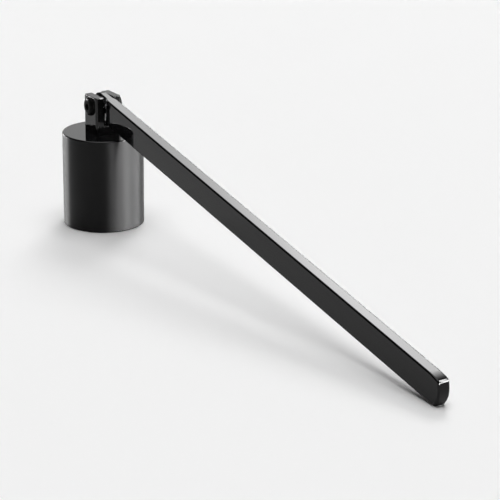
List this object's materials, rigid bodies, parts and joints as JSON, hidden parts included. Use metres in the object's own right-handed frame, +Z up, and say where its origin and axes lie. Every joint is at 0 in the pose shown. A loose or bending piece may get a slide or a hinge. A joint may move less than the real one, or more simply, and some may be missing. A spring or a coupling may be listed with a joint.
{
  "type": "hinged candle snuffer",
  "caption": "Glossy black candle snuffer: an open bell with a slotted fork on its crown and a long flat handle hinged in the fork, resting on its mouth and tip.",
  "frame": {"origin": "centre of the bell's mouth, on the plane that the bell stands on", "axes": "+X from the bell along the handle, +Y along the pivot towards the nut, +Z up along the bell's axis"},
  "size_m": [0.2053, 0.028, 0.0462],
  "materials": {
    "black_bell": "high-gloss black lacquer on turned metal",
    "black_fork": "high-gloss black lacquer on milled metal",
    "black_handle": "high-gloss black lacquer on a polished flat bar",
    "black_fastener": "black-coated steel",
    "bright_steel": "plain bright steel"
  },
  "bodies": {
    "bell_and_fork": {"bell": "black_bell", "fork": "black_fork", "fixing_screw": "bright_steel", "pivot_screw": "black_fastener", "pivot_washers": "bright_steel", "pivot_nut": "black_fastener"},
    "swinging_handle": {"handle": "black_handle"}
  },
  "joints": [
    {"name": "handle_hinge", "type": "hinge", "parent": "bell_and_fork", "child": "swinging_handle", "pos_m": [0, 0, 0.0419], "axis": [0, -1, 0], "range_deg": [-7.5, 210]}
  ]
}
